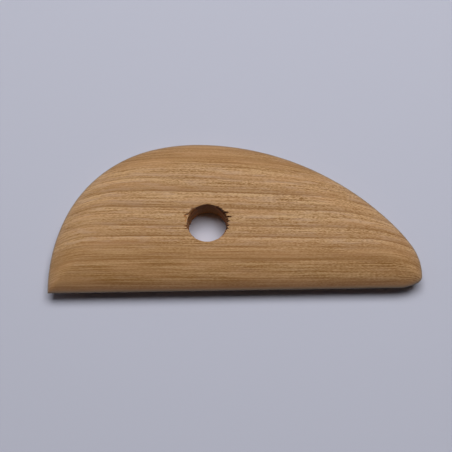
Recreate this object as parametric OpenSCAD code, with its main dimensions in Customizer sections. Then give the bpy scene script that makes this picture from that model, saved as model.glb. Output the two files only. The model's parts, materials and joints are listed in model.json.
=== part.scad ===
// Pottery rib: a hand-held shaping tool made from one piece of close-grained hardwood.
// It is sawn to a half-moon outline with one straight edge, sanded round on both faces
// until the two roundings meet in a thin soft edge, and drilled through for a finger.
// The rib lies on one face. The origin is on the axis of the finger hole at that face,
// the straight edge runs along X below the hole, and the crown of the back is towards +Y.

/* [Board] */
// Thickness of the board that the rib is sawn from
board_t = 9.5; // [8:0.1:12]

/* [Rounded edge] */
// Width of the band on each face that is sanded round towards the edge
band_w = 12; // [9:0.2:13.5]
// Radius of the thin edge where the two rounded bands meet
edge_r = 0.8; // [0.4:0.1:2]

/* [Outline] */
// Length from the side at the heel to the tip of the nose
rib_l = 121.6; // [118:0.2:128]
// Width from the straight edge to the crown
rib_w = 50.8; // [49:0.2:53]
// Distance of the crown from the heel
crown_from_heel = 48; // [46:0.5:50]
// Radius of the side that rises from the heel
heel_r = 56; // [54:1:62]
// Lean of that side where it leaves the heel, in degrees from square
heel_lean = 2.5; // [0:0.5:4]
// Radius of the shoulder between that side and the crown
shoulder_r = 42; // [38:1:44]
// Radius of the crown
crown_r = 62; // [59:1:66]
// Radius of the long back that falls from the crown to the nose
back_r = 90; // [86:1:110]
// Radius of the nose above the tip
nose_r = 54; // [46:1:60]
// Radius of the tip
tip_r = 17.5; // [15:0.5:20]
// Angle above level at which the tip takes over from the nose, in degrees
tip_turn = 33; // [29:1:37]
// Height of the foremost point of the tip above the straight edge
tip_rise = 4.8; // [4:0.1:7]
// Radius of the corner under the tip
corner_r = 2.5; // [1:0.1:3.5]
// Radius of the chin between that corner and the straight edge
chin_r = 14; // [14:0.5:18]
// Distance from the tip at which the chin leaves the straight edge
chin_l = 8; // [6.5:0.5:9.5]

/* [Finger hole] */
// Diameter of the finger hole
hole_d = 12.7; // [8:0.1:16]
// Distance of the hole's axis from the heel
hole_from_heel = 52; // [40:0.5:64]
// Distance of the hole's axis from the straight edge
hole_from_edge = 21.6; // [19:0.1:28]

/* [Smoothness] */
// Largest turn between two stations of the outline, in degrees
station_turn = 4.5; // [3:0.5:10]
// Largest step between two stations on a curve
station_step = 2.4; // [2:0.1:6]
// Rows of facets across each rounded band
band_rows = 10; // [6:1:12]

/* [Hidden] */

// Steps along the straight edge, which needs few
straight_steps = 6;
// How far the drill runs past each face
drill_past = 1;
// How far the loft stands proud of each flat face before the board is planed level
face_proud = 0.05;
// Slack in degrees and in millimetres, so that a point on a border counts as inside
angle_slack = 0.001;
depth_slack = 0.01;

function unit(v) = v / norm(v);
function towards(a) = [cos(a), sin(a)];
function angle_of(v) = atan2(v[1], v[0]);

// The point ra from a and rb from b, on the left of the way from a to b
function meet(a, ra, b, rb) =
    let (
        d = norm(b - a),
        u = unit(b - a),
        t = (ra * ra - rb * rb + d * d) / (2 * d)
    )
    a + t * u + sqrt(ra * ra - t * t) * [-u[1], u[0]];

// Outline: arcs that touch each other, from the heel over the crown to the nose and chin.
// Two arcs touch without a corner when their centres lie apart by the difference of their radii.
heel = [-hole_from_heel, -hole_from_edge];
edge_y = heel[1];
tip_x = heel[0] + rib_l;

heel_c = heel + heel_r * towards(heel_lean);
crown_c = [heel[0] + crown_from_heel, edge_y + rib_w - crown_r];
shoulder_c = meet(crown_c, crown_r - shoulder_r, heel_c, heel_r - shoulder_r);
tip_c = [tip_x - tip_r, edge_y + tip_rise];
nose_c = tip_c - (nose_r - tip_r) * towards(tip_turn);
back_c = meet(nose_c, back_r - nose_r, crown_c, back_r - crown_r);
chin_c = [tip_x - chin_l, edge_y + chin_r];
corner_c = meet(chin_c, chin_r - corner_r, tip_c, tip_r - corner_r);

// Angles at which one arc hands over to the next
heel_to_shoulder = angle_of(shoulder_c - heel_c);
shoulder_to_crown = angle_of(shoulder_c - crown_c);
crown_to_back = angle_of(crown_c - back_c);
back_to_nose = angle_of(nose_c - back_c);
tip_to_corner = angle_of(corner_c - tip_c);
corner_to_chin = angle_of(corner_c - chin_c);

// Each arc: centre, radius, first angle and last angle, anticlockwise from the straight edge's front end
ARCS = [
    [chin_c, chin_r, -90, corner_to_chin],
    [corner_c, corner_r, corner_to_chin, tip_to_corner],
    [tip_c, tip_r, tip_to_corner, tip_turn],
    [nose_c, nose_r, tip_turn, back_to_nose],
    [back_c, back_r, back_to_nose, crown_to_back],
    [crown_c, crown_r, crown_to_back, shoulder_to_crown],
    [shoulder_c, shoulder_r, shoulder_to_crown, heel_to_shoulder],
    [heel_c, heel_r, heel_to_shoulder, 180 + heel_lean],
];

// Section of the edge: a small arc on the board's middle plane that runs smoothly
// into a large arc, and the large arc runs smoothly into the flat face.
mid_t = board_t / 2;
band_r = (band_w * band_w - 2 * band_w * edge_r + mid_t * mid_t) / (2 * (mid_t - edge_r));
// Depth at which the small arc hands over to the large one
edge_end = edge_r - edge_r * (band_w - edge_r) / (band_r - edge_r);

// Half of the wood's thickness at a depth in from the outline
function half_t(depth) =
    depth >= band_w ? mid_t
    : depth < edge_end ? sqrt(max(0, depth * (2 * edge_r - depth)))
    : mid_t - band_r + sqrt(band_r * band_r - pow(band_w - depth, 2));

function faces_arc(p, arc) =
    let (a = angle_of(p - arc[0]))
    (a > arc[2] - angle_slack && a < arc[3] + angle_slack)
    || (a + 360 > arc[2] - angle_slack && a + 360 < arc[3] + angle_slack);

// Depth of a point in from the outline: its least distance to the straight edge and to the arcs it faces
function depth_of(p) =
    min([p[1] - edge_y, for (arc = ARCS) if (faces_arc(p, arc)) arc[1] - norm(p - arc[0])]);

// Corners of the flat face, where the bands of the straight edge and of the curve meet
face_y = edge_y + band_w;
function face_reach(c, r) = sqrt(pow(r - band_w, 2) - pow(face_y - c[1], 2));
heel_corner = [heel_c[0] - face_reach(heel_c, heel_r), face_y];
nose_corner = [nose_c[0] + face_reach(nose_c, nose_r), face_y];

// The place where a station's band ends: square in from the outline, or at a corner of the flat face
function band_end(station) =
    let (square_in = station[0] + band_w * station[1])
    depth_of(square_in) > band_w - depth_slack ? square_in
    : square_in[0] < crown_c[0] ? heel_corner : nose_corner;

// Stations along one arc: a point of the outline and the direction in from it
function arc_stations(arc) =
    let (
        sweep = arc[3] - arc[2],
        n = ceil(max(sweep / station_turn, sweep * PI / 180 * arc[1] / station_step))
    )
    [for (i = [0 : n - 1]) let (out = towards(arc[2] + sweep * i / n)) [arc[0] + arc[1] * out, -out]];

straight_l = chin_c[0] - heel[0];
STATIONS = [
    for (arc = ARCS) each arc_stations(arc),
    for (i = [0 : straight_steps - 1]) [heel + [straight_l * i / straight_steps, 0], [0, 1]],
];

// One row of points round the rib. Row 0 is the edge itself, and the last row borders a flat face.
// The rows lie closer together towards the edge, where the section curves most.
function row_points(row, side) =
    [for (station = STATIONS)
        let (
            end = band_end(station),
            p = station[0] + (end - station[0]) * pow(row / band_rows, 2),
            half = row == band_rows ? mid_t + face_proud : half_t(max(0, depth_of(p)))
        )
        [p[0], p[1], mid_t + side * half]];

// The rounded form: rows from the lower face out to the edge and in again to the upper face
module rounded_form() {
    count = len(STATIONS);
    rows = [for (row = [band_rows : -1 : 0]) [row, -1], for (row = [1 : band_rows]) [row, 1]];
    last = len(rows) - 1;
    points = [for (row = rows) each row_points(row[0], row[1])];
    lower_face = [for (k = [0 : count - 1]) k];
    upper_face = [for (k = [count - 1 : -1 : 0]) last * count + k];
    bands = [
        for (row = [0 : last - 1]) for (k = [0 : count - 1])
            let (a = row * count + k, b = row * count + (k + 1) % count)
            each [[a, a + count, b + count], [a, b + count, b]]
    ];
    polyhedron(points, [lower_face, upper_face, each bands], convexity = 2);
}

// The board, planed to its thickness, that the form is taken from
module board() {
    translate([heel[0] - band_w, edge_y - band_w, 0])
        cube([rib_l + 2 * band_w, rib_w + 2 * band_w, board_t]);
}

module finger_hole() {
    translate([0, 0, -drill_past])
        cylinder(h = board_t + 2 * drill_past, d = hole_d, $fn = 96);
}

module rib() {
    color("burlywood")
    difference() {
        intersection() {
            rounded_form();
            board();
        }
        finger_hole();
    }
}

rib();
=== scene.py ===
# %% [markdown]
# # A pottery rib from one piece of cherry wood
# A rib is the flat tool that a potter presses against wet clay while the pot turns. This one is a
# half-moon of close-grained wood with a finger hole. It could be traced as a flat curve and given a
# thickness, but the real tool has no flat rim: both faces are sanded round until they meet in a thin
# edge. So the mesh is grown inwards from that edge, row by row, as the sanded band runs.
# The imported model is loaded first. It holds the measured rib, and everything here is in its frame, in
# metres, with the finger hole on the Z axis.

# %% Load the measured rib
import json
import math

import bmesh
import bpy
from mathutils import Matrix, Vector, noise


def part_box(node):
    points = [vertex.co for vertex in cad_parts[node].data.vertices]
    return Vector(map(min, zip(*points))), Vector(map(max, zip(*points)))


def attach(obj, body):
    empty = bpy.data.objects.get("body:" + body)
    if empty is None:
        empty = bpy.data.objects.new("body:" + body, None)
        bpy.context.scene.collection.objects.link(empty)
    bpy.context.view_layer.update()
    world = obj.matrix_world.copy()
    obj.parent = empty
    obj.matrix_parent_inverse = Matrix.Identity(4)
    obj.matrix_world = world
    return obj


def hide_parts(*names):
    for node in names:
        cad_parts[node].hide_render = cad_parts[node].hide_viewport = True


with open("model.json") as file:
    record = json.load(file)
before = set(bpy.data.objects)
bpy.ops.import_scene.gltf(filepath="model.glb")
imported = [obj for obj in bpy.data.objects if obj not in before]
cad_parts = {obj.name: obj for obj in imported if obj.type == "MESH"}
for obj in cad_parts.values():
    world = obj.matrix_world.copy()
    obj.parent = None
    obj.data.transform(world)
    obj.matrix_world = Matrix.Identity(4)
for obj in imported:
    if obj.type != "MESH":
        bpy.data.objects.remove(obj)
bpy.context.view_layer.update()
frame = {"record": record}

MM = 0.001
low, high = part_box("rib")
mid_z = (low.z + high.z) / 2
half_board = (high.z - low.z) / 2
hole_mount = next(m for m in frame["record"]["mounts"] if m["name"] == "finger_hole")
hole_r = hole_mount["dims"]["r_mm"] * MM
print("rib", [round(side / MM, 2) for side in high - low], "mm, hole", 2 * hole_r / MM, "mm")

# %% [markdown]
# ## The outline, drawn with a compass
# The outline of the real rib is a chain of round sweeps that run into each other, and one straight
# edge. It could be a Bezier curve pulled into place, but then its roundness is a matter of luck. A
# template maker would use a compass: where two arcs touch without a corner, their centres lie apart by
# the difference of their radii. So only the radii and a few distances are chosen, and the centres
# follow from them.

# %% Where the compass is set down
# Angles are in degrees, anticlockwise from the way that the nose points
HEEL_TO_TIP = 121.6 * MM
CROWN_FROM_HEEL = 48 * MM
HEEL_R = 56 * MM
HEEL_LEAN = 2.5
SHOULDER_R = 42 * MM
CROWN_R = 62 * MM
BACK_R = 90 * MM
NOSE_R = 54 * MM
TIP_R = 17.5 * MM
TIP_TURN = 33
TIP_RISE = 4.8 * MM
CORNER_R = 2.5 * MM
CHIN_R = 14 * MM
CHIN_LENGTH = 8 * MM


def towards(degrees):
    """The way of length 1 that points at an angle."""
    return Vector((math.cos(math.radians(degrees)), math.sin(math.radians(degrees))))


def angle_of(way):
    """The angle of a way in degrees."""
    return math.degrees(math.atan2(way.y, way.x))


def meet(a, ra, b, rb):
    """The point ra from a and rb from b, on the left of the way from a to b."""
    way = b - a
    along = (ra**2 - rb**2 + way.length_squared) / (2 * way.length)
    side = Vector((-way.y, way.x)).normalized()
    return a + along * way.normalized() + math.sqrt(ra**2 - along**2) * side


heel = Vector((high.x - HEEL_TO_TIP, low.y))
heel_c = heel + HEEL_R * towards(HEEL_LEAN)
crown_c = Vector((heel.x + CROWN_FROM_HEEL, high.y - CROWN_R))
shoulder_c = meet(crown_c, CROWN_R - SHOULDER_R, heel_c, HEEL_R - SHOULDER_R)
tip_c = Vector((high.x - TIP_R, low.y + TIP_RISE))
nose_c = tip_c - (NOSE_R - TIP_R) * towards(TIP_TURN)
back_c = meet(nose_c, BACK_R - NOSE_R, crown_c, BACK_R - CROWN_R)
chin_c = Vector((high.x - CHIN_LENGTH, low.y + CHIN_R))
corner_c = meet(chin_c, CHIN_R - CORNER_R, tip_c, TIP_R - CORNER_R)

# Where each arc hands over to the next, anticlockwise from the front end of the straight edge
TURNS = [
    -90,
    angle_of(corner_c - chin_c),
    angle_of(corner_c - tip_c),
    TIP_TURN,
    angle_of(nose_c - back_c),
    angle_of(crown_c - back_c),
    angle_of(shoulder_c - crown_c),
    angle_of(shoulder_c - heel_c),
    180 + HEEL_LEAN,
]
CENTRES = [chin_c, corner_c, tip_c, nose_c, back_c, crown_c, shoulder_c, heel_c]
RADII = [CHIN_R, CORNER_R, TIP_R, NOSE_R, BACK_R, CROWN_R, SHOULDER_R, HEEL_R]
ARCS = list(zip(CENTRES, RADII, TURNS[:-1], TURNS[1:]))
print("turns at", [round(turn, 1) for turn in TURNS])

# %% [markdown]
# One vertex is the pencil. bmesh.ops.spin swings it round each centre in turn and leaves a line of
# edges behind, and a last edge, cut into short lengths, closes the outline along the straight side.

# %% Swing the pencil
PENCIL_STEP = 0.7 * MM
LARGEST_TURN = 5


def arc_steps(radius, sweep):
    """How many steps the pencil takes round an arc."""
    length = math.radians(sweep) * radius
    return math.ceil(max(length / PENCIL_STEP, sweep / LARGEST_TURN))


def swing(bm, pencil, centre, sweep, steps):
    """Swings the pencil round a centre and returns the vertex where it comes to rest."""
    made = bmesh.ops.spin(
        bm,
        geom=[pencil],
        cent=(centre.x, centre.y, 0),
        axis=(0, 0, 1),
        angle=math.radians(sweep),
        steps=steps,
    )
    return next(g for g in made["geom_last"] if isinstance(g, bmesh.types.BMVert))


bm = bmesh.new()
first = bm.verts.new((chin_c.x, low.y, 0))
pencil = first
for centre, radius, start, end in ARCS:
    pencil = swing(bm, pencil, centre, end - start, arc_steps(radius, end - start))
print("the pencil ends at", [round(c / MM, 3) for c in pencil.co], "and the heel is at", heel / MM)
straight = bm.edges.new((pencil, first))
straight_cuts = math.ceil(straight.calc_length() / PENCIL_STEP)
bmesh.ops.subdivide_edges(bm, edges=[straight], cuts=straight_cuts)
print("outline:", len(bm.verts), "points")

# %% [markdown]
# ## The sanded band
# Each face curves down to the edge over a band of the same width all round. A bevel modifier can't do
# that, because it would need the whole width on one side of a single edge and would tangle at the two
# corners. A sander makes the surface another way: how much wood is left depends only on how far in
# from the outline the spot is. So one function gives the depth in from the outline, a second gives
# the wood left at that depth, and rows of edges are extruded inwards and set to that height. Where
# two bands meet, at the heel and the nose, the smaller depth wins, which makes the soft mitre lines.

# %% How far in, and how much wood is left
BAND_WIDTH = 12 * MM
EDGE_R = 0.8 * MM
HEEL_MITRE = 1.2 * MM
NOSE_MITRE = 3.2 * MM
MITRE_SHARE = 0.6
LEAST_SOFTNESS = 1e-9
# Allowance for rounding: in degrees, in millimetres or as a share
SLACK = 0.01

# A small arc at the edge runs smoothly into a large one, and that one into the flat face
band_r = (BAND_WIDTH**2 - 2 * BAND_WIDTH * EDGE_R + half_board**2) / (2 * (half_board - EDGE_R))
edge_end = EDGE_R - EDGE_R * (BAND_WIDTH - EDGE_R) / (band_r - EDGE_R)


def in_sweep(spot, centre, start, end):
    """Whether a spot lies within the sweep of an arc, seen from the arc's centre."""
    angle = angle_of(spot - centre)
    return start - SLACK < angle < end + SLACK or start - SLACK < angle + 360 < end + SLACK


def depth_in(spot):
    """How far a spot lies in from the outline.

    This is its distance to the straight edge or to the curve, whichever is less. Where the two are
    nearly the same it is a little less than either, which softens the mitre.
    """
    straight = spot.y - low.y
    curves = [r - (spot - c).length for c, r, start, end in ARCS if in_sweep(spot, c, start, end)]
    if not curves:
        return straight
    curved = min(curves)
    nearest = min(straight, curved)
    widest = HEEL_MITRE if spot.x < crown_c.x else NOSE_MITRE
    softness = max(min(widest, MITRE_SHARE * nearest), LEAST_SOFTNESS)
    overlap = max(softness - abs(straight - curved), 0) / softness
    return nearest - overlap**2 * softness / 4


def wood_left(depth):
    """Half of the wood's thickness at a depth in from the outline."""
    if depth >= BAND_WIDTH:
        return half_board
    if depth < edge_end:
        return math.sqrt(max(0, depth * (2 * EDGE_R - depth)))
    return half_board - band_r + math.sqrt(band_r**2 - (BAND_WIDTH - depth) ** 2)


for depth in (0, 2, 6, 12):
    print(f"{depth} mm in, the rib is {2 * wood_left(depth * MM) / MM:.2f} mm thick")

# %% [markdown]
# A row of the mesh is one closed loop of edges, extruded from the row before it. Every vertex walks
# along its own line: straight in from the outline where there is room, and towards the corner of the
# flat face near the heel and the nose. The rows lie closer together at the edge, where the section
# curves most. A hand with sandpaper is never quite even, so the height wavers by a few hundredths of
# a millimetre.

# %% Grow the band inwards
BAND_ROWS = 18
WAVER = 0.05 * MM
WAVER_LENGTH = 11 * MM


def waver(spot, share):
    """The slow unevenness of hand sanding: none at the edge, most on the way in, never proud."""
    place = Vector((spot.x, spot.y, 0)) / WAVER_LENGTH
    return WAVER * (noise.noise(place) - 1) / 2 * math.sin(math.pi * min(share, 1))


def grow_rows(bm, loop, aim, shares, height):
    """Extrudes a closed loop of edges row by row, and returns the last row.

    Each vertex goes the given shares of its way to its own aim, and is set to the given height.
    """
    ways = {v: (v.co.copy(), aim(v.co)) for e in loop for v in e.verts}
    for share in shares:
        made = bmesh.ops.extrude_edge_only(bm, edges=loop)["geom"]
        fresh = {g for g in made if isinstance(g, bmesh.types.BMVert)}
        loop = [g for g in made if isinstance(g, bmesh.types.BMEdge)]
        for v in fresh:
            parent = next(e.other_vert(v) for e in v.link_edges if e.other_vert(v) not in fresh)
            ways[v] = ways[parent]
            start, goal = ways[v]
            spot = start.to_2d().lerp(goal.to_2d(), share)
            v.co = (spot.x, spot.y, height(spot, share))
    return loop


def face_reach(centre, radius):
    """Half the chord that the level of the lower band's end cuts from an inner arc."""
    return math.sqrt((radius - BAND_WIDTH) ** 2 - (low.y + BAND_WIDTH - centre.y) ** 2)


heel_corner = Vector((heel_c.x - face_reach(heel_c, HEEL_R), low.y + BAND_WIDTH))
nose_corner = Vector((nose_c.x + face_reach(nose_c, NOSE_R), low.y + BAND_WIDTH))


def band_end(point):
    """Where the band ends for a point of the outline."""
    spot = point.to_2d()
    ways_in = [Vector((0, 1))] if spot.y - low.y < SLACK * MM else []
    ways_in += [
        (c - spot).normalized()
        for c, r, start, end in ARCS
        if in_sweep(spot, c, start, end) and abs((spot - c).length - r) < SLACK * MM
    ]
    goal = spot + BAND_WIDTH * ways_in[0]
    if depth_in(goal) > BAND_WIDTH * (1 - SLACK):
        return goal
    return heel_corner if spot.x < crown_c.x else nose_corner


def band_height(spot, share):
    return wood_left(depth_in(spot)) + waver(spot, share)


band_shares = [(row / BAND_ROWS) ** 2 for row in range(1, BAND_ROWS + 1)]
outline = list(bm.edges)
grow_rows(bm, outline, band_end, band_shares, band_height)
bmesh.ops.remove_doubles(bm, verts=bm.verts, dist=SLACK * MM)
face_loop = [e for e in bm.edges if e.is_boundary and min(v.co.z for v in e.verts) > half_board / 2]
for v in {v for e in face_loop for v in e.verts}:
    v.co.z = half_board
print("band:", len(bm.faces), "faces, and", len(face_loop), "edges round the flat face")

# %% [markdown]
# ## The finger hole
# The hole is drilled straight through. A boolean would leave long slivers round it, and the wood
# beside the hole has to tear in the next step, so it needs a fine and even mesh. The same rows go on:
# over the flat face to a ring round the hole, in close rings up to the rim, and down the bore to the
# middle of the board. The arris of the rim is broken with a tiny bevel.

# %% Rings round the hole, and the bore
FACE_ROWS = 14
RING_STEP = 0.17 * MM
BORE_ROWS = 9
RIM_BREAK = 0.14 * MM
RING_GAP = 0.4 * MM


def ring_of(radius):
    """The aim of every vertex that goes straight to a circle round the hole's axis."""
    return lambda point: point.to_2d().normalized() * radius


def even(rows):
    """The shares of the way at which evenly spaced rows lie."""
    return [row / rows for row in range(1, rows + 1)]


def on_face(spot, share):
    return half_board


def in_bore(spot, share):
    return half_board * (1 - share)


ring_r = -(low.y + BAND_WIDTH) - RING_GAP
ring_rows = round((ring_r - hole_r) / RING_STEP)
ring = grow_rows(bm, face_loop, ring_of(ring_r), even(FACE_ROWS), on_face)
rim = grow_rows(bm, ring, ring_of(hole_r), even(ring_rows), on_face)
grow_rows(bm, rim, ring_of(hole_r), even(BORE_ROWS), in_bore)
bmesh.ops.bevel(
    bm,
    geom=rim,
    offset=RIM_BREAK,
    offset_type="OFFSET",
    segments=2,
    profile=0.5,
    affect="EDGES",
    material=-1,
)
print("rings:", ring_rows, "from", round(ring_r / MM, 2), "mm in to", hole_r / MM, "mm")

# %% [markdown]
# ## The other face
# Both faces are sanded alike, so the lower half is a mirror image of the upper one, joined along the
# edge and in the middle of the bore. The mirror turns the copied faces inside out, so the normals are
# made to point outwards again once the doubles are merged.

# %% Mirror the upper half
MERGE = 0.001 * MM

everything = bm.verts[:] + bm.edges[:] + bm.faces[:]
bmesh.ops.mirror(bm, geom=everything, matrix=Matrix.Identity(4), merge_dist=MERGE, axis="Z")
bmesh.ops.remove_doubles(bm, verts=bm.verts, dist=MERGE)
bmesh.ops.translate(bm, verts=bm.verts, vec=(0, 0, mid_z))
bmesh.ops.recalc_face_normals(bm, faces=bm.faces)
open_edges = sum(not e.is_manifold for e in bm.edges)
print("rib:", len(bm.faces), "faces,", open_edges, "open edges,", round(bm.calc_volume() / MM**3), "mm3")

# %% [markdown]
# ## Wood torn by the drill
# A drill cuts across the fibres where it runs along the grain, and tears them out where it meets
# their ends. So the rim is clean at the front and the back of the hole and ragged at its left and
# right, with short splits that run out along the grain. They could be painted on, but then the rim
# stays a perfect circle. Here each split is a small trough pressed into the close rings: deepest at
# the rim, ragged at its sides, with a low lip of lifted fibres beside it. How deep the wood is torn
# goes into an attribute, so that the material can darken it. It fades down the walls of the bore.

# %% Tear the rim
# How far the sides of a split waver, over what length, and how far apart two splits lie in the noise
RAGGED = 0.07 * MM
RAGGED_LENGTH = 0.45 * MM
RAGS_APART = 7
# A split narrows by this share towards its tip, and its floor rises this steeply to its two ends
TAPER = 0.55
RISE_TO_TIP = 2.2
RISE_TO_RIM = 3
# The lip's height, and its distance from the middle and its reach in half widths of the split
LIP = 0.08 * MM
LIP_AT = 1.4
LIP_REACH = 0.4
DARKEST_AT = 0.8 * MM

# Each split in millimetres: the side it is on, its height up the rim, its gap from the rim, its
# length, width and depth, and how much it rises for each millimetre outwards
UPPER_SPLITS = [
    (-1, 4.85, 0.15, 1.35, 0.3, 0.55, 0.0),
    (-1, 3.9, 0.0, 0.75, 2.8, 0.6, 0.0),
    (-1, 3.5, 0.0, 2.1, 0.6, 0.5, -0.42),
    (-1, 2.55, 1.15, 0.65, 0.5, 0.35, 0.0),
    (-1, 1.1, 0.7, 0.24, 1.8, 0.2, 0.0),
    (-1, 0.0, 0.0, 0.3, 8.0, 0.4, 0.0),
    (-1, -1.0, 0.0, 1.5, 0.6, 0.45, 0.0),
    (-1, -1.55, 0.0, 0.6, 1.4, 0.6, 0.0),
    (-1, -1.93, 0.8, 0.7, 0.34, 0.7, 0.0),
    (1, 5.5, 0.0, 0.9, 0.4, 0.9, 0.0),
    (1, 4.75, 0.0, 0.8, 0.42, 1.0, 0.0),
    (1, 4.2, 0.0, 0.5, 3.2, 0.8, 0.0),
    (1, 0.3, 0.0, 0.38, 9.0, 0.5, 0.0),
    (1, 4.15, 0.0, 0.75, 0.36, 1.0, 0.0),
    (1, 3.47, 0.0, 1.85, 0.68, 1.4, 0.0),
    (1, 2.75, 0.0, 0.6, 0.4, 0.9, 0.0),
    (1, 2.0, 0.6, 1.45, 0.5, 1.2, 0.0),
    (1, 1.2, 0.0, 0.7, 0.5, 0.9, 0.0),
    (1, 0.52, 0.0, 1.3, 0.5, 0.9, 0.0),
    (1, -0.9, 0.0, 1.0, 0.5, 0.9, 0.0),
    (1, -1.95, 0.0, 1.1, 0.45, 1.0, 0.0),
    (1, -4.2, 0.0, 0.6, 1.2, 0.3, 0.0),
]
LOWER_SPLITS = [
    (-1, 3.9, 0.0, 1.6, 0.5, 0.8, 0.1),
    (-1, 2.1, 0.0, 2.0, 0.6, 1.1, -0.15),
    (-1, 0.4, 0.0, 1.2, 0.4, 0.5, 0.0),
    (-1, -1.6, 0.3, 1.7, 0.45, 0.9, 0.0),
    (-1, -3.1, 0.0, 0.7, 0.4, 0.6, 0.0),
    (1, 4.4, 0.0, 0.9, 0.4, 0.7, 0.0),
    (1, 2.6, 0.0, 1.5, 0.6, 1.1, 0.0),
    (1, 0.9, 0.4, 1.9, 0.4, 0.9, 0.1),
    (1, -0.7, 0.0, 0.6, 0.5, 0.6, 0.0),
    (1, -2.7, 0.0, 1.6, 0.55, 1.0, -0.1),
]

# Between the splits the cut ends of the fibres are frayed, with longer teeth on the right side
FRAY_LENGTH = {-1: 0.4, 1: 0.7}
FRAY_SHORTEST = 0.2
FRAY_WIDTH = 0.28
FRAY_DEPTH = 0.25
FRAY_DEEPER = 0.6
FRAY_STEP = 0.34
FRAY_SHIFT = 0.6
FRAY_TEETH = 16


def frayed(side):
    """Small teeth up the rim on one side, each a split with its own shift, length and depth."""
    teeth = []
    for tooth in range(-FRAY_TEETH, FRAY_TEETH):
        chance = noise.cell_vector(Vector((tooth + 0.5, 3 * side, 0)))
        height = (tooth + FRAY_SHIFT * chance.x) * FRAY_STEP
        length = FRAY_LENGTH[side] * (FRAY_SHORTEST + (1 - FRAY_SHORTEST) * chance.y)
        depth = FRAY_DEPTH + FRAY_DEEPER * chance.z
        teeth.append((side, height, 0.0, length, FRAY_WIDTH, depth, 0.0))
    return teeth


def split_at(spot, side, height, gap, length, width, depth, rise):
    """How deep a split is at a spot, and how much of the lip of lifted fibres beside it is there."""
    from_rim = side * spot.x - math.sqrt(max(0, hole_r**2 - spot.y**2))
    along = (from_rim - gap * MM) / (length * MM)
    if along < -1 or along > 1:
        return 0, 0
    rag = RAGGED * noise.noise(Vector((spot.x, RAGS_APART * height * MM, side * MM)) / RAGGED_LENGTH)
    middle = height * MM + rise * max(from_rim, 0) - rag
    half_width = width * MM / 2 * (1 - TAPER * max(along, 0))
    across = abs(spot.y - middle) / half_width
    if along >= 0:
        run = min(1, (1 - along) * RISE_TO_TIP)
    elif gap == 0:
        run = 1
    else:
        run = max(0, 1 + along * RISE_TO_RIM)
    trough = depth * MM * run * math.sqrt(max(0, 1 - across**2))
    lip = run * max(0, 1 - abs(across - LIP_AT) / LIP_REACH)
    return trough, lip


def tear(bm, torn, face, splits, lip_height):
    """Presses splits into one face, 1 for the upper and -1 for the lower, and marks the torn wood."""
    for v in bm.verts:
        if face * (v.co.z - mid_z) <= 0 or v.co.to_2d().length > ring_r:
            continue
        found = [split_at(v.co.to_2d(), *split) for split in splits]
        trough = max(f[0] for f in found)
        lift = lip_height * max(f[1] for f in found) if trough == 0 else 0
        share = abs(v.co.z - mid_z) / half_board
        v.co.z -= face * share * (trough - lift)
        v[torn] = share**2 * min(1, trough / DARKEST_AT)


# The rib lies on its lower face, so nothing stands proud there
torn = bm.verts.layers.float.new("torn")
fray = frayed(-1) + frayed(1)
tear(bm, torn, 1, UPPER_SPLITS + fray, LIP)
tear(bm, torn, -1, LOWER_SPLITS + fray, 0)
print("torn:", sum(v[torn] > 0 for v in bm.verts), "vertices")

# %% [markdown]
# ## The finished mesh
# The mesh keeps two more attributes. One is the distance from the straight edge as a share of the
# band, and the wood is coloured darker towards that edge. The other is 1 on the thin rim and 0 a
# little way in, where the rim is painted greyer and darker: painted shade along the thin edge. The
# walls of the bore and the deep splits get the second material slot: drilled wood looks different
# from sanded wood. Edges sharper than a set angle stay crisp.

# %% Make the rib
CRISP_ANGLE = 32
BORE_SLACK = 0.03 * MM
TORN_ENOUGH = 0.25
# Width of the painted shade along the thin rim
SHADED_RIM_WIDTH = 0.9 * MM
SANDED_SLOT = 0
DRILLED_SLOT = 1

inward = bm.verts.layers.float.new("inward")
# The rim attribute carries the painted shade along the thin edge
rim_shade_layer = bm.verts.layers.float.new("rim")
for v in bm.verts:
    v[inward] = min(1, (v.co.y - low.y) / BAND_WIDTH)
    v[rim_shade_layer] = max(0, 1 - depth_in(v.co.to_2d()) / SHADED_RIM_WIDTH)
for f in bm.faces:
    f.smooth = True
    in_hole = max(v.co.to_2d().length for v in f.verts) < hole_r + BORE_SLACK
    is_torn = min(v[torn] for v in f.verts) > TORN_ENOUGH
    f.material_index = DRILLED_SLOT if in_hole or is_torn else SANDED_SLOT
rib_mesh = bpy.data.meshes.new("cherry_rib")
bm.to_mesh(rib_mesh)
bm.free()
rib_mesh.set_sharp_from_angle(angle=math.radians(CRISP_ANGLE))
rib = bpy.data.objects.new("cherry_rib", rib_mesh)
bpy.context.scene.collection.objects.link(rib)
print("rib mesh:", len(rib_mesh.polygons), "faces")

# %% [markdown]
# ## Cherry wood
# Wood is a solid pattern, not a skin: the year rings run right through the board, and the sanded band
# cuts them on the slant, so that they bend where the surface drops. An image wrapped round the rib
# could not do that. The pattern is therefore built on Object coordinates, in two groups that both
# finishes of the wood share. The first lays the year rings, nearly level and leaning through the
# board. The second lays the fibres and pores along them.

# %% Small helpers for node trees
# The sockets of a Mix node that are used when it mixes colours
MIX_SHARE = 0
MIX_A = 6
MIX_B = 7
MIX_RESULT = 2


def new_group(name, inputs, outputs):
    """A node group, with the sockets of its input and output nodes."""
    tree = bpy.data.node_groups.new(name, "ShaderNodeTree")
    for label, kind, value in inputs:
        socket = tree.interface.new_socket(label, in_out="INPUT", socket_type=kind)
        if value is not None:
            socket.default_value = value
    for label, kind in outputs:
        tree.interface.new_socket(label, in_out="OUTPUT", socket_type=kind)
    return tree, tree.nodes.new("NodeGroupInput").outputs, tree.nodes.new("NodeGroupOutput").inputs


def node(tree, kind, inputs=None, **settings):
    """Adds a node. An input is a plain value or a socket to link."""
    made = tree.nodes.new(kind)
    for key, value in settings.items():
        setattr(made, key, value)
    for key, value in (inputs or {}).items():
        if isinstance(value, bpy.types.NodeSocket):
            tree.links.new(value, made.inputs[key])
        else:
            made.inputs[key].default_value = value
    return made


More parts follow.
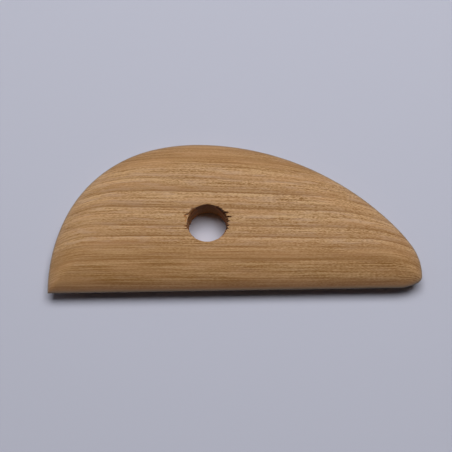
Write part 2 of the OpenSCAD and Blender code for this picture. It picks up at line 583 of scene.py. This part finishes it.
def maths(tree, operation, *values, clamp=False):
    """One step of arithmetic on plain values or sockets."""
    settings = {"operation": operation, "use_clamp": clamp}
    return node(tree, "ShaderNodeMath", dict(enumerate(values)), **settings).outputs[0]


def spread(tree, value, start, end, low_end=0.0, high_end=1.0, clamp=True):
    """Goes from the low end to the high end while the value goes from start to end."""
    inputs = {"Value": value, "From Min": start, "From Max": end, "To Min": low_end, "To Max": high_end}
    return node(tree, "ShaderNodeMapRange", inputs, clamp=clamp).outputs["Result"]


def ramp(tree, share, stops):
    """A colour ramp from (place, colour) stops; a plain number is a grey."""
    made = node(tree, "ShaderNodeValToRGB", {"Fac": share})
    elements = made.color_ramp.elements
    while len(elements) < len(stops):
        elements.new(1)
    for element, (place, colour) in zip(elements, stops):
        element.position = place
        element.color = (colour,) * 3 + (1,) if isinstance(colour, (int, float)) else (*colour, 1)
    return made.outputs["Color"]


def mix(tree, share, a, b):
    """Goes from colour a to colour b as the share goes from 0 to 1."""
    made = node(tree, "ShaderNodeMix", {}, data_type="RGBA")
    for key, value in ((MIX_SHARE, share), (MIX_A, a), (MIX_B, b)):
        if isinstance(value, bpy.types.NodeSocket):
            tree.links.new(value, made.inputs[key])
        else:
            made.inputs[key].default_value = (*value, 1) if isinstance(value, tuple) else value
    return made.outputs[MIX_RESULT]


def streaks(tree, grain, sizes, detail=2.0):
    """Noise from 0 to 1. Its features have three sizes in millimetres: along the fibres, across the
    rings and in the sheet of a ring."""
    scale = [1 / (size * MM) for size in sizes]
    place = node(tree, "ShaderNodeMapping", {"Vector": grain, "Scale": scale}).outputs[0]
    inputs = {"Vector": place, "Scale": 1.0, "Detail": detail}
    return node(tree, "ShaderNodeTexNoise", inputs).outputs["Fac"]


# %% [markdown]
# A year ring is pale where the wood grew in spring and ends in a thin dark line, so each ring is three
# stops of a colour ramp. A ramp holds at most 32 stops, so one serves the rings in front and another
# those behind. Both read a height that leans with the board, sinks and closes up a little towards the
# nose, and wanders, as the rings of a real board do. The group also gives the grain coordinates:
# along the fibres, across the rings, and along them.

# %% Year rings
# The heights between which the colour ramps reach, and how far a ring leans for its depth in the board
RING_LOW = -24 * MM
RING_HIGH = 38 * MM
LEAN = 0.58
# From BEND_FROM on, over BEND_LENGTH, every line sinks by SLOPE_DROP. It bends down as well: not at
# all at LEVEL_LINE, by BEND_DROP at BENT_LINE, and by more behind it
BEND_FROM = -35 * MM
BEND_LENGTH = 90 * MM
SLOPE_DROP = 1.2 * MM
BEND_DROP = 3.3 * MM
LEVEL_LINE = -14 * MM
BENT_LINE = 11 * MM
# How far the lines wander slowly and ripple quickly, and the sizes of both noises
WANDER = 0.45 * MM
WANDER_SIZES = (60, 14, 14)
RIPPLE = 0.16 * MM
RIPPLE_SIZES = (6, 2, 2)
# The lines are weaker in patches and at the heel
PATCH_SIZES = (34, 5, 5)
PATCH_START = 0.3
PATCH_END = 0.55
IN_PATCHES = 0.7
HEEL_START = -50 * MM
HEEL_END = -26 * MM
AT_HEEL = 0.5
# A line starts LINE_START times its softness below its height. At its softness above that height it
# keeps the share LINE_FADED of its darkness. The last line is gone LAST_FADE millimetres above its own
LINE_START = 1.6
LINE_FADED = 0.5
LAST_FADE = 3.0

# The dark line of each ring on the upper face: its height in millimetres, darkness and softness
FRONT_RINGS = [
    (-21.0, 0.5, 0.4),
    (-17.3, 0.35, 0.35),
    (-14.9, 0.2, 0.3),
    (-11.4, 0.75, 0.5),
    (-7.4, 0.75, 0.3),
    (-3.9, 1.0, 0.22),
    (-0.1, 0.9, 0.3),
    (4.0, 0.25, 0.3),
]
BACK_RINGS = [
    (6.1, 1.0, 0.28),
    (9.5, 0.15, 0.2),
    (11.8, 1.0, 0.2),
    (16.5, 0.45, 0.3),
    (21.2, 0.2, 0.3),
    (25.2, 0.5, 0.7),
    (30.0, 0.55, 0.4),
    (34.2, 0.5, 0.4),
]


def ring_place(height):
    """The place of a height in millimetres on the colour ramps."""
    return (height * MM - RING_LOW) / (RING_HIGH - RING_LOW)


def ring_stops(lines):
    """Pale below each dark line, dark on it, and slowly fading above it."""
    stops = [(0.0, 0.0)]
    for height, darkness, softness in lines:
        stops.append((ring_place(height - LINE_START * softness), 0.0))
        stops.append((ring_place(height), darkness))
        stops.append((ring_place(height + softness), darkness * LINE_FADED))
    last_height = lines[-1][0]
    stops.append((ring_place(last_height + LAST_FADE), 0.0))
    return stops


rings, given, put = new_group(
    "year_rings",
    [("Vector", "NodeSocketVector", None)],
    [("Latewood", "NodeSocketFloat"), ("Grain", "NodeSocketVector")],
)
xyz = node(rings, "ShaderNodeSeparateXYZ", {"Vector": given["Vector"]}).outputs
leaned = maths(rings, "MULTIPLY_ADD", maths(rings, "SUBTRACT", xyz["Z"], high.z), -LEAN, xyz["Y"])
bend = spread(rings, leaned, LEVEL_LINE, BENT_LINE, high_end=BEND_DROP, clamp=False)
far = spread(rings, xyz["X"], BEND_FROM, BEND_FROM + BEND_LENGTH, clamp=False)
far = maths(rings, "MAXIMUM", far, 0.0)
drop = maths(rings, "MULTIPLY", far, maths(rings, "MULTIPLY_ADD", far, bend, SLOPE_DROP))
level = maths(rings, "ADD", leaned, drop)
slow = streaks(rings, given["Vector"], WANDER_SIZES, detail=1.0)
wandered = maths(rings, "MULTIPLY_ADD", maths(rings, "SUBTRACT", slow, 0.5), 2 * WANDER, level)
quick = streaks(rings, given["Vector"], RIPPLE_SIZES)
across = maths(rings, "MULTIPLY_ADD", maths(rings, "SUBTRACT", quick, 0.5), 2 * RIPPLE, wandered)
share = spread(rings, across, RING_LOW, RING_HIGH)
front = ramp(rings, share, ring_stops(FRONT_RINGS))
back = ramp(rings, share, ring_stops(BACK_RINGS))
patches = streaks(rings, given["Vector"], PATCH_SIZES, detail=1.0)
patchy = spread(rings, patches, PATCH_START, PATCH_END, low_end=IN_PATCHES)
fading = spread(rings, xyz["X"], HEEL_START, HEEL_END, low_end=AT_HEEL)
strength = maths(rings, "MULTIPLY", patchy, fading)
latewood = maths(rings, "MULTIPLY", maths(rings, "MAXIMUM", front, back), strength)
rings.links.new(latewood, put["Latewood"])
along = maths(rings, "MULTIPLY_ADD", xyz["Y"], LEAN, xyz["Z"])
grain = node(rings, "ShaderNodeCombineXYZ", {"X": xyz["X"], "Y": across, "Z": along}).outputs[0]
rings.links.new(grain, put["Grain"])
print("year rings:", len(FRONT_RINGS) + len(BACK_RINGS))

# %% [markdown]
# Between the rings the wood is made of fine lines, short flecks and open pores. All three are noise
# drawn out along the grain, at their real lengths and widths, so that they keep their size at any
# distance. Towards the straight edge and the crown the wood is calm: more even, and a little darker.
# The flecks grow stronger from the heel to the nose, and the lines fade at the heel. Fine fibres,
# flecks and pores also make the height for the bump, because pores are small hollows.

# %% Fibres, flecks and pores
LINE_SIZES = (22, 0.27, 4)
FLECK_SIZES = (0.9, 0.2, 0.8)
PORE_SIZES = (1.1, 0.11, 0.3)
FINE_SIZES = (3, 0.09, 0.6)
# A pore opens where its noise passes PORE_FROM, and deepens this much faster than the noise, up to 1
PORE_FROM = 0.6
PORE_STEEPNESS = 6.0
FLECK_HEIGHT = 0.6
# The wood grows calm between these distances from the middle ring
MIDDLE_RING = 7.2 * MM
CALM_START = 12 * MM
CALM_END = 16 * MM
EVEN_TONE = 0.503
CALM_DARKER = 0.06
# The strength of the lines and of the flecks, how much less it is in calm wood, and the shares of it
# at the heel and at the nose
LINE_STRENGTH = 1.6
LINE_CALMED = 0.6
LINES_AT_HEEL = 0.6
FLECK_STRENGTH = 1.2
FLECK_CALMED = 0.75
FLECKS_AT_HEEL = 0.5
FLECKS_AT_NOSE = 1.35
NOSE_END = 50 * MM

fibres, given, put = new_group(
    "wood_fibres",
    [("Grain", "NodeSocketVector", None)],
    [
        ("Lines", "NodeSocketFloat"),
        ("Flecks", "NodeSocketFloat"),
        ("Pores", "NodeSocketFloat"),
        ("Calm", "NodeSocketFloat"),
        ("Height", "NodeSocketFloat"),
    ],
)
lines = streaks(fibres, given["Grain"], LINE_SIZES)
flecks = streaks(fibres, given["Grain"], FLECK_SIZES, detail=1.0)
pores = streaks(fibres, given["Grain"], PORE_SIZES, detail=1.0)
pores = maths(fibres, "SUBTRACT", pores, PORE_FROM)
pores = maths(fibres, "MULTIPLY", pores, PORE_STEEPNESS, clamp=True)
fine = streaks(fibres, given["Grain"], FINE_SIZES, detail=1.0)
height = maths(fibres, "SUBTRACT", maths(fibres, "MULTIPLY_ADD", flecks, FLECK_HEIGHT, fine), pores)
spot = node(fibres, "ShaderNodeSeparateXYZ", {"Vector": given["Grain"]}).outputs
from_middle = maths(fibres, "ABSOLUTE", maths(fibres, "SUBTRACT", spot["Y"], MIDDLE_RING))
calm = spread(fibres, from_middle, CALM_START, CALM_END)
flecked = spread(fibres, spot["X"], HEEL_START, NOSE_END, FLECKS_AT_HEEL, FLECKS_AT_NOSE)
lined = spread(fibres, spot["X"], HEEL_START, HEEL_END, low_end=LINES_AT_HEEL)


def stirred(noise_socket, strength):
    """Stretches a noise about an even tone, which is a little darker where the wood is calm."""
    swings = maths(fibres, "SUBTRACT", noise_socket, 0.5)
    even_tone = maths(fibres, "MULTIPLY_ADD", calm, -CALM_DARKER, EVEN_TONE)
    return maths(fibres, "MULTIPLY_ADD", swings, strength, even_tone)


line_strength = maths(fibres, "MULTIPLY_ADD", calm, -LINE_CALMED, LINE_STRENGTH)
line_strength = maths(fibres, "MULTIPLY", line_strength, lined)
fleck_strength = maths(fibres, "MULTIPLY_ADD", calm, -FLECK_CALMED, FLECK_STRENGTH)
fleck_strength = maths(fibres, "MULTIPLY", fleck_strength, flecked)
fibres.links.new(stirred(lines, line_strength), put["Lines"])
fibres.links.new(stirred(flecks, fleck_strength), put["Flecks"])
fibres.links.new(pores, put["Pores"])
fibres.links.new(calm, put["Calm"])
fibres.links.new(height, put["Height"])

# %% [markdown]
# ## The two finishes
# Sanded cherry is matt, straw to warm brown, with darker ring lines, an orange cast that drifts over
# the board and small greyer patches between the rings. A faint sheen stands for the fuzz that fine
# paper leaves. The wood is darker towards the straight edge, and its thin rim is painted greyer and
# darker as painted shade. Where the drill tore it, it goes from amber over rust brown to almost black,
# the deeper the split is: the near-black of the deepest splits is painted shade. The bore is the same
# wood, darker and rougher, scored by the drill, and it keeps darker tones that are partly painted
# shade of its back wall. Its front wall, which faces the light, is painted pale as a painted lit side,
# and throws more light on the floor below.

# %% Sanded wood
CREAM = (0.69, 0.43, 0.215)
STRAW = (0.618, 0.37, 0.172)
HONEY = (0.537, 0.310, 0.131)
UMBER = (0.34, 0.157, 0.036)
WALNUT = (0.25, 0.10, 0.01)
# Brown that darkens the wood towards the straight edge
STRAIGHT_EDGE_BROWN = (0.235, 0.103, 0.04)
# Painted shade: a darker grey-brown along the thin rim of the outline
EDGE_SHADE = (0.26, 0.175, 0.105)
APRICOT = (0.575, 0.305, 0.132)
ASH = (0.62, 0.405, 0.268)
AMBER = (0.46, 0.19, 0.045)
RUST = (0.23, 0.085, 0.022)
# Near-black of the deepest splits: painted shade in the splits, over the torn wood's own amber and rust
SPLIT_SHADE = (0.06, 0.025, 0.008)

# Stops of the colour ramps: a tone of the grain and its colour, or a place and a share of a colour
GRAIN_TONES = [(0.33, WALNUT), (0.4, UMBER), (0.5, HONEY), (0.56, STRAW), (0.63, CREAM)]
ORANGE_CAST = [(0.45, 0.0), (0.7, 0.45)]
GREY_PATCHES = [(0.5, 0.0), (0.7, 0.45)]
STRAIGHT_EDGE_DARKENING = [(0.0, 0.85), (0.1, 0.6), (0.3, 0.0)]
RIM_SHADE = [(0.0, 0.0), (1.0, 0.9)]
TORN_AMBER = [(0.0, 0.0), (0.12, 0.8)]
TORN_RUST = [(0.2, 0.0), (0.5, 0.9)]
TORN_SHADE = [(0.5, 0.0), (1.0, 0.85)]
SANDED_ROUGHNESS = [(0.3, 0.74), (0.7, 0.62)]

# The sizes of two noises in millimetres, and how strongly the patterns show
CAST_SIZES = (22, 4, 8)
GREY_SIZES = (9, 1.2, 3)
GREY_CALMED = 0.75
FLECK_SHARE = 0.55
LINE_SHARE = 0.45
PORE_DARKNESS = 0.35


def wood_material(name):
    """A material with both wood groups in it, and the sockets that its finish is made from."""
    material = bpy.data.materials.new(name)
    material.use_nodes = True
    tree = material.node_tree
    place = node(tree, "ShaderNodeTexCoord").outputs["Object"]
    ring_node = node(tree, "ShaderNodeGroup", {}, node_tree=rings)
    tree.links.new(place, ring_node.inputs["Vector"])
    fibre_node = node(tree, "ShaderNodeGroup", {}, node_tree=fibres)
    tree.links.new(ring_node.outputs["Grain"], fibre_node.inputs["Grain"])
    return material, tree, place, ring_node.outputs, fibre_node.outputs


def attribute(tree, name):
    """A number that the mesh keeps at its vertices."""
    return node(tree, "ShaderNodeAttribute", {}, attribute_name=name).outputs["Fac"]


def torn_over(tree, colour):
    """The wood amber, then rust brown, then almost black, the deeper it is torn; the near-black is
    painted shade in the splits.
    """
    depth = attribute(tree, "torn")
    colour = mix(tree, ramp(tree, depth, TORN_AMBER), colour, AMBER)
    colour = mix(tree, ramp(tree, depth, TORN_RUST), colour, RUST)
    # The deepest splits go nearly black: painted shade
    return mix(tree, ramp(tree, depth, TORN_SHADE), colour, SPLIT_SHADE)


sanded, tree, place, ring, fibre = wood_material("sanded_cherry")
shader = tree.nodes["Principled BSDF"]
tone = maths(tree, "MULTIPLY", fibre["Lines"], LINE_SHARE)
tone = maths(tree, "MULTIPLY_ADD", fibre["Flecks"], FLECK_SHARE, tone)
colour = ramp(tree, tone, GRAIN_TONES)
cast = streaks(tree, ring["Grain"], CAST_SIZES)
colour = mix(tree, ramp(tree, cast, ORANGE_CAST), colour, APRICOT)
greyed = ramp(tree, streaks(tree, ring["Grain"], GREY_SIZES), GREY_PATCHES)
lively = maths(tree, "MULTIPLY_ADD", fibre["Calm"], -GREY_CALMED, 1.0)
colour = mix(tree, maths(tree, "MULTIPLY", greyed, lively), colour, ASH)
colour = mix(tree, ring["Latewood"], colour, WALNUT)
colour = mix(tree, maths(tree, "MULTIPLY", fibre["Pores"], PORE_DARKNESS), colour, UMBER)
# Darker towards the straight edge
colour = mix(tree, ramp(tree, attribute(tree, "inward"), STRAIGHT_EDGE_DARKENING), colour, STRAIGHT_EDGE_BROWN)
# Painted shade along the thin rim: darker and greyer at the outline
colour = mix(tree, ramp(tree, attribute(tree, "rim"), RIM_SHADE), colour, EDGE_SHADE)
tree.links.new(torn_over(tree, colour), shader.inputs["Base Color"])
tree.links.new(ramp(tree, fibre["Flecks"], SANDED_ROUGHNESS), shader.inputs["Roughness"])
bump_inputs = {"Height": fibre["Height"], "Distance": 0.05 * MM, "Strength": 0.5}
tree.links.new(node(tree, "ShaderNodeBump", bump_inputs).outputs[0], shader.inputs["Normal"])
shader.inputs["Specular IOR Level"].default_value = 0.45
shader.inputs["Sheen Weight"].default_value = 0.4

# %% Drilled wood
SCORE_LENGTH = 5 * MM
SCORE_WIDTH = 0.16 * MM
# The bore's darker tones are partly painted shade of its back wall
BORE_DARK = (0.20, 0.092, 0.034)
BORE_PALE = (0.36, 0.196, 0.085)
# Pale colour of the front wall: a painted lit side, made pale to throw more light on the floor
BORE_LIT_FRONT = (0.74, 0.47, 0.24)
BORE_TONES = [(0.35, BORE_DARK), (0.65, BORE_PALE)]
DRILLED_ROUGHNESS = [(0.3, 0.75), (0.7, 0.6)]
# Towards the front wall, which faces the light, the wood is painted pale, a painted lit side, between
# these two values of Y
LIT_FRONT_START = 2 * MM
LIT_FRONT_END = -6 * MM
SCORE_SHARE = 0.5
RING_SHARE = 0.5

drilled, tree, place, ring, fibre = wood_material("drilled_cherry")
shader = tree.nodes["Principled BSDF"]
score_scale = (1 / SCORE_LENGTH, 1 / SCORE_LENGTH, 1 / SCORE_WIDTH)
score_place = node(tree, "ShaderNodeMapping", {"Vector": place, "Scale": score_scale}).outputs[0]
score_inputs = {"Vector": score_place, "Scale": 1.0, "Detail": 3.0}
scores = node(tree, "ShaderNodeTexNoise", score_inputs).outputs["Fac"]
tone = maths(tree, "MULTIPLY", fibre["Flecks"], 1 - SCORE_SHARE)
tone = maths(tree, "MULTIPLY_ADD", scores, SCORE_SHARE, tone)
colour = ramp(tree, tone, BORE_TONES)
bore_spot = node(tree, "ShaderNodeSeparateXYZ", {"Vector": place}).outputs
# The front wall, facing the light, is painted pale: painted light
lit_front_wall = spread(tree, bore_spot["Y"], LIT_FRONT_START, LIT_FRONT_END)
colour = mix(tree, lit_front_wall, colour, BORE_LIT_FRONT)
colour = mix(tree, maths(tree, "MULTIPLY", ring["Latewood"], RING_SHARE), colour, BORE_DARK)
tree.links.new(torn_over(tree, colour), shader.inputs["Base Color"])
tree.links.new(ramp(tree, scores, DRILLED_ROUGHNESS), shader.inputs["Roughness"])
shader.inputs["Specular IOR Level"].default_value = 0.2
bump_inputs = {"Height": scores, "Distance": 0.08 * MM, "Strength": 0.6}
tree.links.new(node(tree, "ShaderNodeBump", bump_inputs).outputs[0], shader.inputs["Normal"])

rib_mesh.materials.append(sanded)
rib_mesh.materials.append(drilled)
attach(rib, "root")
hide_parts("rib")

# %% [markdown]
# ## The table and the light
# The rib lies on a pale paper-like surface. A wide soft light stands behind it, high and a little to
# the right, and leaves a dark shadow under the straight edge. The size of the light comes from that
# shadow: its front border is as soft as the light is tall, and its ends fade as slowly as the light is
# wide. Two dim panels stand for the walls on the left and right. The rest of the room gives almost
# nothing, so the world is dim, though the camera sees it as pale as the floor.

# %% Floor
FLOOR_SIZE = 3.0
FLOOR_COLOUR = (0.588, 0.598, 0.702)

floor_bm = bmesh.new()
bmesh.ops.create_grid(floor_bm, x_segments=1, y_segments=1, size=FLOOR_SIZE / 2)
floor_mesh = bpy.data.meshes.new("floor")
floor_bm.to_mesh(floor_mesh)
floor_bm.free()
floor = bpy.data.objects.new("floor", floor_mesh)
bpy.context.scene.collection.objects.link(floor)
paper = bpy.data.materials.new("pale_paper")
paper.use_nodes = True
paper_shader = paper.node_tree.nodes["Principled BSDF"]
paper_shader.inputs["Base Color"].default_value = (*FLOOR_COLOUR, 1)
paper_shader.inputs["Roughness"].default_value = 0.9
paper_shader.inputs["Specular IOR Level"].default_value = 0.1
floor_mesh.materials.append(paper)

# %% Lights
WHITE = (1.0, 1.0, 1.0)
COOL = (0.8, 0.87, 1.0)
ROOM_LIGHT = 0.008
ROOM_COLOUR = (1.0, 0.8, 0.7)
SEEN_COLOUR = (0.47, 0.485, 0.58)


def add_panel(name, height, to_right, distance, wide, tall, power, colour):
    """A panel of light that faces the rib from a distance in metres, with its power in watts.

    The height above level, the turn to the right of straight behind, and the width and the height
    that the panel fills as seen from the rib are in degrees.
    """
    data = bpy.data.lights.new(name, "AREA")
    data.shape = "RECTANGLE"
    data.size = 2 * distance * math.tan(math.radians(wide / 2))
    data.size_y = 2 * distance * math.tan(math.radians(tall / 2))
    data.energy = power
    data.color = colour
    panel = bpy.data.objects.new(name, data)
    bpy.context.scene.collection.objects.link(panel)
    turned = Matrix.Rotation(math.radians(-to_right), 4, "Z")
    tipped_back = Matrix.Rotation(math.radians(height - 90), 4, "X")
    panel.matrix_world = turned @ tipped_back @ Matrix.Translation((0, 0, distance))
    print(name, round(data.size, 2), "by", round(data.size_y, 2), "m at", panel.matrix_world.translation)


add_panel("softbox", height=67, to_right=13, distance=0.9, wide=48, tall=31, power=7.5, colour=WHITE)
add_panel("left_wall", height=38, to_right=-76, distance=1.2, wide=44, tall=44, power=0.7, colour=COOL)
add_panel("right_wall", height=38, to_right=76, distance=1.2, wide=44, tall=44, power=0.2, colour=COOL)

world = bpy.data.worlds.new("studio")
bpy.context.scene.world = world
world.use_nodes = True
air = world.node_tree
seen = node(air, "ShaderNodeBackground", {"Color": (*SEEN_COLOUR, 1), "Strength": 1.0}).outputs[0]
dim = node(air, "ShaderNodeBackground", {"Color": (*ROOM_COLOUR, 1), "Strength": ROOM_LIGHT}).outputs[0]
to_camera = node(air, "ShaderNodeLightPath").outputs["Is Camera Ray"]
both = node(air, "ShaderNodeMixShader", {0: to_camera, 1: dim, 2: seen}).outputs[0]
air.links.new(both, air.nodes["World Output"].inputs["Surface"])
bpy.context.scene.view_settings.view_transform = "Standard"

# %% [markdown]
# ## The camera
# The camera looks down steeply from the side of the straight edge. Its height is read from the finger
# hole: the round rim looks lower than it is wide. The picture is square, 452 pixels each way, and the
# focal length in pixels gives the lens on a sensor 36 mm wide.

# %% Camera
# The height above level and the roll are in degrees
PICTURE_WIDTH = 452
FOCAL_PIXELS = 922.65
CAMERA_HEIGHT = 73
CAMERA_ROLL = -0.92
CAMERA_DISTANCE = 310 * MM
LOOKS_AT = Vector((6.104, 1.712, 0)) * MM

camera_data = bpy.data.cameras.new("camera")
camera_data.sensor_fit = "HORIZONTAL"
camera_data.sensor_width = 36
camera_data.lens = FOCAL_PIXELS / PICTURE_WIDTH * camera_data.sensor_width
camera_data.clip_start = 0.01
camera = bpy.data.objects.new("camera", camera_data)
bpy.context.scene.collection.objects.link(camera)
tipped = Matrix.Rotation(math.radians(90 - CAMERA_HEIGHT), 4, "X")
rolled = Matrix.Rotation(math.radians(CAMERA_ROLL), 4, "Z")
backed_off = Matrix.Translation((0, 0, CAMERA_DISTANCE))
camera.matrix_world = Matrix.Translation(LOOKS_AT) @ tipped @ rolled @ backed_off
bpy.context.scene.camera = camera
print("camera at", [round(c, 3) for c in camera.matrix_world.translation])
